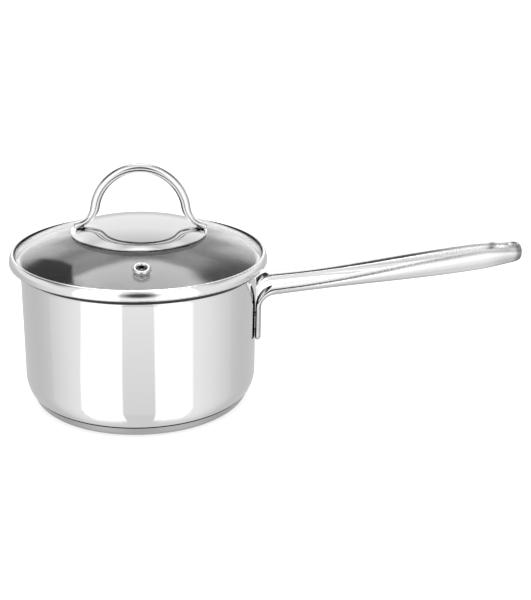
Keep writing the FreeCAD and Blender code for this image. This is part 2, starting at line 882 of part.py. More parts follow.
def build_knob_boss():
    """Threaded bush welded under the plate; it passes through the glass."""
    bore = cell("screw_radius") + cell("thread_clearance")
    outer = cell("boss_radius")
    bottom = cell("boss_bottom")
    top = cell("boss_top")
    body = new_body("knob_boss")
    revolve(body, [
        (bore, bottom),
        (outer, bottom),
        (outer, top),
        (0, top),
        (0, top - BUSH_ROOF),
        (bore, top - BUSH_ROOF),
    ])
    return body


def build_knob_screw(head_top):
    """Button-head screw with a hex socket, put in from under the lid."""
    shank = cell("screw_radius")
    head = cell("screw_head_radius")
    high = cell("screw_head_high")
    end = cell("screw_end")
    crown = high * SCREW_CROWN
    body = new_body("knob_screw")
    revolve(body, [
        (0, head_top - high),
        (head - crown, head_top - high, 1, crown),
        (head, head_top - high + crown),
        (head, head_top),
        (shank, head_top),
        (shank, end - SCREW_END_CHAMFER),
        (shank - SCREW_END_CHAMFER, end),
        (0, end),
    ])
    socket = body.newObject("PartDesign::SubtractivePrism", "hex_socket")
    socket.AttachmentSupport = [(origin_plane(body, "XY_Plane"), "")]
    socket.MapMode = "FlatFace"
    socket.Polygon = 6
    socket.setExpression("Circumradius", "Sheet.screw_socket_radius")
    socket.setExpression("Height", "Sheet.screw_socket_deep")
    socket.setExpression("AttachmentOffset.Base.z", (head_top - high).text)
    body.Tip = socket
    doc.recompute()
    return body


knob_boss = build_knob_boss()
pad_bottom = cell("pad_bottom")
pad_top = pad_bottom + cell("pad_thick")
knob_pad = ring("knob_pad", cell("knob_hole_radius"), cell("pad_radius"), pad_bottom, pad_top)
seal_top = cell("seal_top")
seal_bottom = seal_top - cell("seal_thick")
seal_hole = cell("boss_radius") + cell("boss_clearance")
knob_seal = ring("knob_seal", seal_hole, cell("seal_radius"), seal_bottom, seal_top)
washer_top = seal_bottom - cell("washer_gap")
washer_bottom = washer_top - cell("washer_thick")
washer_hole = cell("screw_radius") + cell("washer_clearance")
knob_washer = ring("knob_washer", washer_hole, cell("washer_radius"), washer_bottom, washer_top)
knob_screw = build_knob_screw(washer_bottom - cell("washer_gap"))


# ---------------------------------------------------------------- steam vent

def build_vent_eyelet():
    """Steel eyelet, rolled over above the glass and crimped below it; local Z is the glass's normal."""
    flange = cell("eyelet_flange")
    bore = cell("eyelet_bore")
    wall = cell("eyelet_wall")
    high = cell("eyelet_high")
    crimp = cell("eyelet_crimp")
    gap = cell("eyelet_gap")
    edge = cell("eyelet_edge")
    chamfer = cell("crimp_chamfer")
    seat = cell("grommet_thick") + gap
    under = (cell("glass_thick") + cell("grommet_thick")) * -1.0 - gap
    roll = (flange - bore) / 2.0
    shoulder = cell("grommet_thick") + high - roll
    body = new_body("vent_eyelet")
    revolve(body, [
        (bore, under - wall - cell("crimp_tail") + gap, 1, wall),
        (bore + wall, under - wall),
        (crimp - chamfer, under - wall + chamfer),
        (crimp, under - wall + chamfer * 2.0),
        (crimp, under),
        (bore + wall, under),
        (bore + wall, seat),
        (flange - edge, seat),
        (flange, seat + edge),
        (flange, shoulder, 1, roll),
        (bore + roll, shoulder + roll, 1, roll),
        (bore, shoulder),
    ])
    body.Placement = vent_placement
    return body


def build_vent_grommet():
    """Silicone grommet between the eyelet and the glass."""
    inner = cell("eyelet_bore") + cell("eyelet_wall") + cell("grommet_gap")
    hole = cell("vent_hole_radius") - cell("grommet_gap")
    flange = cell("grommet_flange")
    thick = cell("grommet_thick")
    clear = cell("grommet_clearance")
    under = cell("glass_thick") * -1.0
    body = new_body("vent_grommet")
    revolve(body, [
        (inner, under - thick),
        (flange, under - thick),
        (flange, under - clear),
        (hole, under - clear),
        (hole, clear),
        (flange, clear),
        (flange, thick),
        (inner, thick),
    ])
    body.Placement = vent_placement
    return body


vent_eyelet = build_vent_eyelet()
vent_grommet = build_vent_grommet()


# ---------------------------------------------------------------- checks and export

NODES = [
    pan_body, base_core, base_cap, long_handle, handle_welds,
    lid_glass, lid_rim_band, rim_seal,
    knob_plate, knob_arch, arch_welds,
    knob_boss, knob_pad, knob_seal, knob_washer, knob_screw,
    vent_eyelet, vent_grommet,
]

doc.recompute()
for obj in doc.Objects:
    if "Invalid" in obj.State or "Error" in obj.State:
        raise ValueError("%s is %s" % (obj.Name, obj.State))
for node in NODES:
    if node.Shape.isNull() or not node.Shape.isValid() or not node.Shape.Solids:
        raise ValueError("%s has no valid solid" % node.Label)

os.makedirs("parts", exist_ok=True)
for node in NODES:
    node.Shape.exportStep("parts/%s.step" % node.Label)
    print("%-14s %d solid(s), %9.1f mm3" % (node.Label, len(node.Shape.Solids), node.Shape.Volume))
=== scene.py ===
"""Saucepan with a vented glass lid: materials, studio and camera.

Everything is in metres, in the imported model's own frame: +Z up, +X towards the long handle.
Every visible piece is a CAD piece. This script gives each its material and builds the studio.
"""
import json
import math
from collections import namedtuple

import bmesh
import bpy
from mathutils import Matrix

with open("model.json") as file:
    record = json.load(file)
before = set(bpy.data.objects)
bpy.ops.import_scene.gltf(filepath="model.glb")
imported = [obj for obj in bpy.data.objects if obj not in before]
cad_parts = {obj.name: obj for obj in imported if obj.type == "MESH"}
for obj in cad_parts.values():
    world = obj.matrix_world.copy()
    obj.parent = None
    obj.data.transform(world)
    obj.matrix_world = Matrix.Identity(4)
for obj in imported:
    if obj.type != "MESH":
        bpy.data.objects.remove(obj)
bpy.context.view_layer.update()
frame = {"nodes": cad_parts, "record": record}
scene = bpy.context.scene

# ---------------------------------------------------------------- node helpers


def add_node(tree, kind, inputs=None, **settings):
    """Adds a node, sets its properties, then links or sets its inputs."""
    made = tree.nodes.new(kind)
    for key, value in settings.items():
        setattr(made, key, value)
    for key, value in (inputs or {}).items():
        if isinstance(value, bpy.types.NodeSocket):
            tree.links.new(value, made.inputs[key])
        else:
            made.inputs[key].default_value = value
    return made


def calc(tree, operation, first, second=0.0):
    return add_node(tree, "ShaderNodeMath", {0: first, 1: second}, operation=operation).outputs[0]


def vector_calc(tree, operation, first, second=(0.0, 0.0, 0.0), output="Vector"):
    made = add_node(tree, "ShaderNodeVectorMath", {0: first, 1: second}, operation=operation)
    return made.outputs[output]


def scaled(tree, vector, scale):
    made = add_node(tree, "ShaderNodeVectorMath", {0: vector, "Scale": scale}, operation="SCALE")
    return made.outputs[0]


def axes_of(tree, vector):
    """The x, y and z of a vector."""
    split = add_node(tree, "ShaderNodeSeparateXYZ", {0: vector})
    return [split.outputs[name] for name in "XYZ"]


def ramp(tree, value, low, high, start=0.0, end=1.0, curve="SMOOTHSTEP"):
    """Runs from start to end as value goes from low to high."""
    made = add_node(
        tree, "ShaderNodeMapRange",
        {"Value": value, "From Min": low, "From Max": high, "To Min": start, "To Max": end},
        interpolation_type=curve)
    return made.outputs["Result"]


def straight(tree, value, low, high, start=0.0, end=1.0):
    return ramp(tree, value, low, high, start, end, "LINEAR")


def fall(tree, value, low, high):
    """1 below low and 0 above high."""
    return ramp(tree, value, low, high, 1.0, 0.0)


def between(tree, value, starts, full, fades, gone):
    """1 from full to fades, and 0 below starts and above gone."""
    return product(tree, ramp(tree, value, starts, full), fall(tree, value, fades, gone))


def product(tree, first, *others):
    for other in others:
        first = calc(tree, "MULTIPLY", first, other)
    return first


def opposite(tree, share):
    return calc(tree, "SUBTRACT", 1.0, share)


def mix_number(tree, share, low, high):
    made = add_node(tree, "ShaderNodeMix", {0: share, 2: low, 3: high}, data_type="FLOAT")
    return made.outputs[0]


def mix_colour(tree, share, low, high):
    made = add_node(tree, "ShaderNodeMix", {0: share, 6: low, 7: high}, data_type="RGBA")
    return made.outputs[2]


# ---------------------------------------------------------------- camera

CAMERA_PLACE = (0.0140, -0.6855, 0.3215)
CAMERA_YAW = 6.09           # degrees towards +X
CAMERA_PITCH = 20.30        # degrees down
CAMERA_ROLL = 1.42
CAMERA_LENS = 62.75         # mm, with the sensor below
CAMERA_SENSOR = 36.0
CAMERA_CLIP = (0.01, 50.0)


def build_camera():
    data = bpy.data.cameras.new("studio_camera")
    data.lens = CAMERA_LENS
    data.sensor_width = CAMERA_SENSOR
    data.clip_start, data.clip_end = CAMERA_CLIP
    camera = bpy.data.objects.new("studio_camera", data)
    scene.collection.objects.link(camera)
    turn = (Matrix.Rotation(math.radians(-CAMERA_YAW), 4, "Z")
            @ Matrix.Rotation(math.radians(90.0 - CAMERA_PITCH), 4, "X")
            @ Matrix.Rotation(math.radians(CAMERA_ROLL), 4, "Z"))
    camera.matrix_world = Matrix.Translation(CAMERA_PLACE) @ turn
    scene.camera = camera


# ---------------------------------------------------------------- studio

# The studio is painted on the world by direction, in degrees: around is 0 on the camera's side
# of the pan and grows towards +X, side is around without its sign, and height is above the
# horizon. Four degrees are where a part starts, is full, begins to fade and has gone; two are
# one such edge. A strength of 1 is a plain white wall.
WHITE = (1.0, 1.0, 1.0, 1.0)
SEEN_STRENGTH = 1.0                     # what the camera itself sees behind the pan

ROOM_HORIZON = (-4.0, 9.0)
ROOM_BELOW_SIDE = (50.0, 122.0)
ROOM_BELOW = (1.04, 0.69)
ROOM_LEFT_STEP = (-96.5, -95.0)
ROOM_LEFT_SHARE = 0.94
ROOM_RIGHT_STEP = (99.0, 100.5)
ROOM_RIGHT_SHARE = 0.965

OVERHEAD_STRENGTH = 3.9
OVERHEAD_HEIGHT = (47.5, 52.5)
OVERHEAD_SIDE = (140.0, 152.0)

SHELF_STRENGTH = 1.5
SHELF_HEIGHT = (36.0, 43.0, 48.0, 53.0)
SHELF_SIDE = (146.0, 156.0, 166.0, 174.0)

GLOW_STRENGTH = 1.5
GLOW_BOTTOM = (1.0, 8.0)
GLOW_SIDE = (148.0, 157.0)
GLOW_LOW_TOP = (16.0, 22.0)
GLOW_LOW_END = (166.0, 171.0)
GLOW_HIGH_TOP = (28.0, 36.0)
GLOW_HIGH_END = (160.0, 165.0)

WALL_HEIGHT = (21.0, 31.0, 51.0, 58.0)
WALL_SIDE = (62.0, 85.0)
RIGHT_WALL_STRENGTH = 0.50
RIGHT_WALL_EDGE = (150.0, 162.0)
LEFT_WALL_STRENGTH = 0.22
LEFT_WALL_EDGE = (-156.5, -154.5)
LEFT_WALL_LEANS_ABOVE = 43.0
LEFT_WALL_LEAN = 0.85                   # degrees round for each degree up
MIDDLE = 1.0                            # the soft step between the left half and the right half

GAP_STRENGTH = (0.79, 1.16)
GAP_BRIGHTENS = (-31.0, -13.0)
GAP_AROUND = (-30.0, -22.0, 20.0, 28.0)
GAP_TOP = (50.0, 70.0)

BOX_STRENGTH = 1.6
LEFT_BOX = (-58.5, -55.5, -18.5, -15.5)
RIGHT_BOX = (12.5, 15.5, 48.0, 54.0)
BOX_HEIGHT = (-64.0, -38.0, 45.0, 65.0)
BOX_LEAN = 3.5                          # how far the lower end of the boxes' edges leans
BOX_LEANS_BELOW = (-24.5, -21.0)
BOX_LEAN_FADES = (-58.0, 10.0)

ZENITH_STRENGTH = 1.5
ZENITH_EDGE = (66.0, 80.0)
NADIR_STRENGTH = 0.78
NADIR_EDGE = (-74.0, -50.0)

PATCH_STRENGTH = 0.08
PATCH_HEIGHT = 20.0
PATCH_HALF_SIZE = (17.0, 21.0)          # to the side, and up
PATCH_EDGE = (0.35, 1.5)                # in half sizes from its middle

FLOOR_REACH = 12.0
FLOOR_LEVEL = -0.0002
FLOOR_CORNERS = 96
FLOOR_COLOUR = (0.40, 0.40, 0.40, 1.0)
FLOOR_GLOW = 0.68

FILL_SIZE = 3.0
FILL_POWER = 60.0
FILL_HEIGHT = 2.2

Direction = namedtuple("Direction", "around side height")


def look_directions(tree):
    """Where a ray into the studio points, in degrees."""
    x, y, z = axes_of(tree, add_node(tree, "ShaderNodeTexCoord").outputs["Generated"])
    degrees = 180.0 / math.pi
    turn = calc(tree, "ARCTAN2", x, calc(tree, "MULTIPLY", y, -1.0))
    around = calc(tree, "MULTIPLY", turn, degrees)
    height = calc(tree, "MULTIPLY", calc(tree, "ARCSINE", z), degrees)
    return Direction(around, calc(tree, "ABSOLUTE", around), height)


def plain_room(tree, look):
    """Pale walls, dimmer behind the pan below the horizon."""
    below = product(
        tree,
        ramp(tree, look.side, *ROOM_BELOW_SIDE, *ROOM_BELOW),
        ramp(tree, look.around, *ROOM_LEFT_STEP, ROOM_LEFT_SHARE, 1.0),
        ramp(tree, look.around, *ROOM_RIGHT_STEP, 1.0, ROOM_RIGHT_SHARE))
    return mix_number(tree, ramp(tree, look.height, *ROOM_HORIZON), below, 1.0)


def overhead_share(tree, look):
    return product(
        tree, ramp(tree, look.height, *OVERHEAD_HEIGHT), ramp(tree, look.side, *OVERHEAD_SIDE))


def shelf_share(tree, look):
    """The step of light under the overhead box."""
    return product(
        tree, between(tree, look.height, *SHELF_HEIGHT), between(tree, look.side, *SHELF_SIDE))


def glow_share(tree, look):
    """The glow behind the pan, which reaches further round where it is low."""
    low = product(
        tree, fall(tree, look.height, *GLOW_LOW_TOP), fall(tree, look.side, *GLOW_LOW_END))
    high = product(
        tree, fall(tree, look.height, *GLOW_HIGH_TOP), fall(tree, look.side, *GLOW_HIGH_END))
    return product(
        tree, ramp(tree, look.height, *GLOW_BOTTOM), ramp(tree, look.side, *GLOW_SIDE),
        calc(tree, "MAXIMUM", low, high))


def wall_share(tree, look):
    return product(
        tree, between(tree, look.height, *WALL_HEIGHT), ramp(tree, look.side, *WALL_SIDE))


def right_wall_share(tree, look):
    return product(
        tree, wall_share(tree, look), fall(tree, look.around, *RIGHT_WALL_EDGE),
        ramp(tree, look.around, -MIDDLE, 0.0))


def left_wall_share(tree, look):
    """The left wall's far edge leans over as it goes up."""
    above = calc(tree, "SUBTRACT", look.height, LEFT_WALL_LEANS_ABOVE)
    lean = product(tree, calc(tree, "MAXIMUM", above, 0.0), LEFT_WALL_LEAN)
    leaning = calc(tree, "SUBTRACT", look.around, lean)
    return product(
        tree, wall_share(tree, look), ramp(tree, leaning, *LEFT_WALL_EDGE),
        fall(tree, look.around, 0.0, MIDDLE))


def gap_share(tree, look):
    """Straight ahead, between the two front boxes."""
    return product(
        tree, between(tree, look.around, *GAP_AROUND), fall(tree, look.height, *GAP_TOP))


def front_boxes_share(tree, look):
    """Two tall boxes whose edges lean a little at the bottom, so that they mirror upright."""
    lean = product(
        tree, straight(tree, look.height, *BOX_LEANS_BELOW, BOX_LEAN, 0.0),
        straight(tree, look.around, *BOX_LEAN_FADES, 1.0, 0.0))
    along = calc(tree, "ADD", look.around, lean)
    both = calc(tree, "ADD", between(tree, along, *LEFT_BOX), between(tree, along, *RIGHT_BOX))
    return product(tree, both, between(tree, look.height, *BOX_HEIGHT))


def patch_share(tree, look):
    """The dim oval of the camera and whoever stands behind it."""
    half_width, half_height = PATCH_HALF_SIZE
    across = calc(tree, "DIVIDE", look.side, half_width)
    up = calc(tree, "DIVIDE", calc(tree, "SUBTRACT", look.height, PATCH_HEIGHT), half_height)
    squares = calc(tree, "ADD", product(tree, across, across), product(tree, up, up))
    return fall(tree, calc(tree, "SQRT", squares), *PATCH_EDGE)


def build_studio_light():
    """Soft light from all round: two tall boxes in front, one overhead, and a pale room."""
    world = bpy.data.worlds.new("studio")
    scene.world = world
    world.use_nodes = True
    tree = world.node_tree
    tree.nodes.clear()
    look = look_directions(tree)
    gap_strength = ramp(tree, look.height, *GAP_BRIGHTENS, *GAP_STRENGTH)
    room = plain_room(tree, look)
    for share, strength in (
            (overhead_share(tree, look), OVERHEAD_STRENGTH),
            (shelf_share(tree, look), SHELF_STRENGTH),
            (glow_share(tree, look), GLOW_STRENGTH),
            (right_wall_share(tree, look), RIGHT_WALL_STRENGTH),
            (left_wall_share(tree, look), LEFT_WALL_STRENGTH),
            (gap_share(tree, look), gap_strength),
            (front_boxes_share(tree, look), BOX_STRENGTH),
            (ramp(tree, look.height, *ZENITH_EDGE), ZENITH_STRENGTH),
            (fall(tree, look.height, *NADIR_EDGE), NADIR_STRENGTH),
            (patch_share(tree, look), PATCH_STRENGTH)):
        room = mix_number(tree, share, room, strength)

    seen = add_node(tree, "ShaderNodeLightPath").outputs["Is Camera Ray"]
    strength = mix_number(tree, seen, room, SEEN_STRENGTH)
    light = add_node(tree, "ShaderNodeBackground", {"Color": WHITE, "Strength": strength})
    out = add_node(tree, "ShaderNodeOutputWorld")
    tree.links.new(light.outputs[0], out.inputs["Surface"])
    scene.view_settings.view_transform = "Standard"


def build_floor():
    """A wide pale floor, which the metal doesn't mirror: it shows the lower part of the boxes."""
    material = bpy.data.materials.new("floor_white")
    material.use_nodes = True
    shader = material.node_tree.nodes["Principled BSDF"]
    shader.inputs["Base Color"].default_value = FLOOR_COLOUR
    shader.inputs["Emission Color"].default_value = WHITE
    shader.inputs["Emission Strength"].default_value = FLOOR_GLOW
    shader.inputs["Roughness"].default_value = 1.0
    shader.inputs["Specular IOR Level"].default_value = 0.0
    shape = bmesh.new()
    turns = (2 * math.pi * step / FLOOR_CORNERS for step in range(FLOOR_CORNERS))
    shape.faces.new([
        shape.verts.new((FLOOR_REACH * math.cos(turn), FLOOR_REACH * math.sin(turn), FLOOR_LEVEL))
        for turn in turns])
    mesh = bpy.data.meshes.new("floor")
    shape.to_mesh(mesh)
    shape.free()
    mesh.materials.append(material)
    floor = bpy.data.objects.new("floor", mesh)
    floor.visible_glossy = False
    scene.collection.objects.link(floor)


def build_fill_light():
    """A wide soft light over the table, which the metal doesn't mirror."""
    data = bpy.data.lights.new("fill", "AREA")
    data.shape = "DISK"
    data.size = FILL_SIZE
    data.energy = FILL_POWER
    fill = bpy.data.objects.new("fill", data)
    fill.location = (0.0, 0.0, FILL_HEIGHT)
    fill.visible_glossy = False
    fill.visible_camera = False
    fill.visible_transmission = False
    scene.collection.objects.link(fill)


build_camera()
build_studio_light()
build_fill_light()
build_floor()

# ---------------------------------------------------------------- material helpers

STEEL = (0.78, 0.78, 0.782)
AXIS_GUARD = 0.001              # keeps divisions by the radius finite on the axis
FACING_GUARD = 0.0001
SPOTS_PER_SMUDGE = 14.0         # how much finer the dust spots are than the smudges
SPOT_BLUR = 0.03
SMUDGE_SHARE = 0.5              # how much of the lines' shading the smudges have
LINE_DEPTH = 0.0001
RING_DEPTH = 0.0002
RING_SHADE = 0.88
# the levels of a noise between which its marks come in, for the blur and for the colour
SMUDGE_BLURS = (0.35, 0.75)
SMUDGE_SHADES = (0.3, 0.8)
LINE_BLURS = (0.4, 0.8)
LINE_SHADES = (0.2, 0.8)
SPOT_BLURS = (0.62, 0.75)
RING_BLURS = (0.3, 0.7)
RING_SHADES = (0.2, 0.8)


def new_material(name):
    material = bpy.data.materials.new(name)
    material.use_nodes = True
    tree = material.node_tree
    return material, tree, tree.nodes["Principled BSDF"]


def linked_to(shader, name):
    """The socket that feeds one of the shader's inputs."""
    return shader.inputs[name].links[0].from_socket


def plain_coordinates(tree):
    return add_node(tree, "ShaderNodeTexCoord").outputs["Object"]


def surface_normal(tree):
    return add_node(tree, "ShaderNodeNewGeometry").outputs["Normal"]


def sum_of_products(tree, first, second):
    """The x and y of two vectors multiplied in pairs and added up."""
    return calc(
        tree, "ADD", product(tree, first[0], second[0]), product(tree, first[1], second[1]))


def turned_coordinates(tree, along, across):
    """Coordinates for marks that run round the Z axis: slow round the axis, fast across it."""
    place = axes_of(tree, plain_coordinates(tree))
    radius = calc(tree, "SQRT", sum_of_products(tree, place, place))
    scale = calc(tree, "DIVIDE", along, calc(tree, "ADD", radius, AXIS_GUARD))
    return add_node(tree, "ShaderNodeCombineXYZ", {
        0: product(tree, place[0], scale),
        1: product(tree, place[1], scale),
        2: product(tree, calc(tree, "ADD", radius, place[2]), across),
    }).outputs[0]


def noise(tree, vector, scale, detail=3.0, roughness=0.5):
    made = add_node(
        tree, "ShaderNodeTexNoise",
        {"Vector": vector, "Scale": scale, "Detail": detail, "Roughness": roughness})
    return made.outputs["Fac"]


def add_bump(tree, shader, height, share, depth):
    bump = add_node(
        tree, "ShaderNodeBump", {"Height": height, "Strength": share, "Distance": depth})
    tree.links.new(bump.outputs[0], shader.inputs["Normal"])


def steel(name, colour=STEEL, rough=(0.02, 0.05), lines=0.01, line_scale=2600.0, turned=True,
          stretch=(1.0, 1.0, 1.0), smudge_scale=22.0, dull=0.03):
    """Stainless steel with fine polishing lines, soft smudges and dust spots."""
    material, tree, shader = new_material(name)
    place = plain_coordinates(tree)
    if turned:
        fine = turned_coordinates(tree, along=1.5, across=line_scale)
        brushed = noise(tree, fine, scale=1.0, detail=3.0, roughness=0.6)
    else:
        fine = add_node(tree, "ShaderNodeMapping", {"Vector": place, "Scale": stretch}).outputs[0]
        brushed = noise(tree, fine, scale=line_scale, detail=3.0, roughness=0.6)
    smudges = noise(tree, place, smudge_scale, detail=4.0, roughness=0.55)
    spots = noise(tree, place, smudge_scale * SPOTS_PER_SMUDGE, detail=2.0, roughness=0.5)
    blur = ramp(tree, smudges, *SMUDGE_BLURS, *rough)
    blur = calc(tree, "ADD", blur, ramp(tree, brushed, *LINE_BLURS, 0.0, lines))
    blur = calc(tree, "ADD", blur, ramp(tree, spots, *SPOT_BLURS, 0.0, SPOT_BLUR))
    shade = product(
        tree, ramp(tree, brushed, *LINE_SHADES, 1.0 - dull, 1.0),
        ramp(tree, smudges, *SMUDGE_SHADES, 1.0, 1.0 - SMUDGE_SHARE * dull))
    tree.links.new(scaled(tree, colour, shade), shader.inputs["Base Color"])
    tree.links.new(blur, shader.inputs["Roughness"])
    shader.inputs["Metallic"].default_value = 1.0
    add_bump(tree, shader, brushed, lines, LINE_DEPTH)
    return material


def facing(tree, outward_share, up_share):
    """How far the surface faces outwards from the Z axis and up, each with its own share."""
    normal = axes_of(tree, surface_normal(tree))
    place = axes_of(tree, plain_coordinates(tree))
    outward = sum_of_products(tree, normal, place)
    radius = calc(tree, "SQRT", sum_of_products(tree, place, place))
    outward = calc(tree, "DIVIDE", outward, calc(tree, "ADD", radius, FACING_GUARD))
    return calc(
        tree, "ADD", product(tree, outward, outward_share), product(tree, normal[2], up_share))


def add_second_finish(material, mask, colour, rough, line_pitch, depth):
    """Gives the part of a steel piece where mask is 1 a duller, turned finish."""
    tree = material.node_tree
    shader = tree.nodes["Principled BSDF"]
    rings = turned_coordinates(tree, along=2.0, across=1.0 / line_pitch)
    rings = noise(tree, rings, scale=1.0, detail=4.0, roughness=0.7)
    dulled = scaled(tree, colour, ramp(tree, rings, *RING_SHADES, RING_SHADE, 1.0))
    tint = mix_colour(tree, mask, linked_to(shader, "Base Color"), dulled)
    tree.links.new(tint, shader.inputs["Base Color"])
    satin = ramp(tree, rings, *RING_BLURS, *rough)
    blur = mix_number(tree, mask, linked_to(shader, "Roughness"), satin)
    tree.links.new(blur, shader.inputs["Roughness"])
    turned = add_node(tree, "ShaderNodeBump", {
        "Height": product(tree, rings, mask), "Strength": depth, "Distance": RING_DEPTH,
        "Normal": linked_to(shader, "Normal")})
    tree.links.new(turned.outputs[0], shader.inputs["Normal"])


def shade_by(material, value, stops, share=1.0):
    """Multiplies a steel's colour by a grey that follows value through (place, grey) stops."""
    tree = material.node_tree
    shader = tree.nodes["Principled BSDF"]
    graded = add_node(tree, "ShaderNodeValToRGB", {0: value})
    points = graded.color_ramp.elements
    while len(points) < len(stops):
        points.new(0.5)
    for point, (place, grey) in zip(points, stops):
        point.position = place
        point.color = (grey, grey, grey, 1.0)
    shade = mix_number(tree, share, 1.0, graded.outputs[0])
    tinted = scaled(tree, linked_to(shader, "Base Color"), shade)
    tree.links.new(tinted, shader.inputs["Base Color"])


def darken(material, mask, grey):
    """Multiplies a steel's colour by grey where mask is 1."""
    shade_by(material, mask, ((0.0, 1.0), (1.0, grey)))


# ---------------------------------------------------------------- materials

# heights above the table where the painted shade of a crevice or groove starts and where it is
# full
RIM_PAINTED_SHADE = (0.0939, 0.0943)
BASE_PAINTED_SHADE = (0.0081, 0.0078)
BASE_GROOVE_SHADE = (0.0070, 0.0072)
# the painted shade under the rim reaches lower beside the handle, between these x
RIM_PAINTED_SHADE_DROP = 0.0008
RIM_PAINTED_SHADE_DROPS = (0.02, 0.08)
# where facing() passes from one side of the pan's sheet to the other
PAN_OUTSIDE_ENDS = (-0.1, 0.1)
PAN_INSIDE_STARTS = (0.0, 0.2)
UNDERSIDE_STARTS = (0.93, 0.99)
# how dark the painted shade is in the pan's crevices and in the base's groove
PAINTED_CREVICE_SHADE = 0.05
PAINTED_GROOVE_SHADE = 0.04


def pan_steel():
    """Mirror polished outside, with painted shade in its crevices; inside, a satin finish turned
    on a lathe.
    """
    material = steel("pan_mirror_steel")
    tree = material.node_tree
    x, _, z = axes_of(tree, plain_coordinates(tree))
    outside = fall(tree, facing(tree, -1.0, 0.6), *PAN_OUTSIDE_ENDS)
    drop = ramp(tree, x, *RIM_PAINTED_SHADE_DROPS, 0.0, RIM_PAINTED_SHADE_DROP)
    shade_under_rim = straight(tree, calc(tree, "ADD", z, drop), *RIM_PAINTED_SHADE)
    painted_shade = calc(tree, "MAXIMUM", shade_under_rim, straight(tree, z, *BASE_PAINTED_SHADE))
    # painted shade: the outside darkened under the rim and just above the base
    darken(material, product(tree, outside, painted_shade), PAINTED_CREVICE_SHADE)
    inside = ramp(tree, facing(tree, -1.0, 1.0), *PAN_INSIDE_STARTS)
    add_second_finish(
        material, inside, colour=(0.64, 0.64, 0.64), rough=(0.17, 0.23), line_pitch=0.0009,
        depth=0.015)
    return material


def base_steel():
    """Polished side with painted shade in the groove at its top, and a flat underside with the
    lathe's rings left in it.
    """
    material = steel("base_turned_steel", (0.50, 0.50, 0.50), (0.22, 0.28))
    tree = material.node_tree
    height = axes_of(tree, plain_coordinates(tree))[2]
    # painted shade in the groove along the base's top edge
    darken(material, straight(tree, height, *BASE_GROOVE_SHADE), PAINTED_GROOVE_SHADE)
    under = ramp(tree, facing(tree, 0.0, -1.0), *UNDERSIDE_STARTS)
    add_second_finish(
        material, under, colour=(0.56, 0.56, 0.56), rough=(0.22, 0.36), line_pitch=0.0011,
        depth=0.25)
    return material


# painted reflections and shade: greys by the way the surface faces, from straight down at 0 to
# straight up at 1
HANDLE_OUTSIDE = (
    (0.0, 0.76), (0.30, 0.70), (0.35, 0.58), (0.43, 0.52), (0.50, 0.72), (0.56, 1.0),
    (0.93, 1.0), (0.97, 0.70))
HANDLE_EDGE_LINE = ((0.0, 1.0), (0.60, 1.0), (0.615, 0.08), (0.65, 0.08), (0.665, 1.0))
HANDLE_OUTER_TOP = ((0.0, 1.0), (0.55, 1.0), (0.61, 0.60), (1.0, 0.66))
HANDLE_INSIDE = (
    (0.0, 1.28), (0.70, 1.28), (0.72, 0.62), (0.745, 0.62), (0.765, 1.1), (0.93, 1.1),
    (0.97, 0.70))
# painted reflections and shade: greys along the loop's end, and round it from facing sideways at
# 0 to facing along +X at 1
HANDLE_LOOP = (
    (0.0, 1.0), (0.24, 1.0), (0.31, 0.50), (0.39, 0.50), (0.50, 1.0), (0.76, 1.0), (0.92, 0.50))
HANDLE_END = ((0.0, 0.80), (0.3, 0.62), (0.6, 0.46), (0.9, 0.66))
# the x between which each finish comes in or fades
WELDED_LEG_FADES = (0.086, 0.090)
EDGE_LINE_FADES = (0.095, 0.215)
OUTER_TOP_STARTS = (0.180, 0.215)
INSIDE_SOFTENS = (0.170, 0.235)
LOOP_SPAN = (0.240, 0.265)
END_STARTS = (0.238, 0.257)
# how far a leg's side turns away from the other leg, times y, where inside becomes outside
HANDLE_SIDE_BLEND = (-0.0003, 0.0003)
# how far the loop's end faces along +X, or its inside along -X, where its greys come in
LOOP_INSIDE_FADES = (-0.9, -0.3)
LOOP_END_STARTS = (0.2, 0.4)
# how far a welded leg faces the pan where its painted shade comes in
LEG_BACK_STARTS = (0.4, 0.7)
LEG_BACK_PAINTED_SHADE = 0.06
INSIDE_BLUR = 0.25


def shade_handle_sides(material, x, upward, on_outside, on_inside):
    """Painted reflections: greyer below, a dark line along each upper edge near the pan, a soft
    grey further out.
    """
    tree = material.node_tree
    line_share = product(tree, on_outside, fall(tree, x, *EDGE_LINE_FADES))
    top_share = product(tree, on_outside, ramp(tree, x, *OUTER_TOP_STARTS))
    shade_by(material, upward, HANDLE_OUTSIDE, on_outside)
    shade_by(material, upward, HANDLE_EDGE_LINE, line_share)
    shade_by(material, upward, HANDLE_OUTER_TOP, top_share)
    shade_by(material, upward, HANDLE_INSIDE, on_inside)


def shade_handle_loop(material, x, forward, on_outside, on_inside):
    """Painted reflections and shade: the greys inside the loop's end and round it."""
    tree = material.node_tree
    in_loop = calc(tree, "MAXIMUM", fall(tree, forward, *LOOP_INSIDE_FADES), on_inside)
    on_end = calc(tree, "MAXIMUM", ramp(tree, forward, *LOOP_END_STARTS), on_outside)
    shade_by(material, straight(tree, x, *LOOP_SPAN), HANDLE_LOOP, in_loop)
    shade_by(material, forward, HANDLE_END, product(tree, on_end, ramp(tree, x, *END_STARTS)))


def soften(material, blur):
    """Adds to a steel's roughness."""
    tree = material.node_tree
    shader = tree.nodes["Principled BSDF"]
    blur = calc(tree, "ADD", linked_to(shader, "Roughness"), blur)
    tree.links.new(blur, shader.inputs["Roughness"])


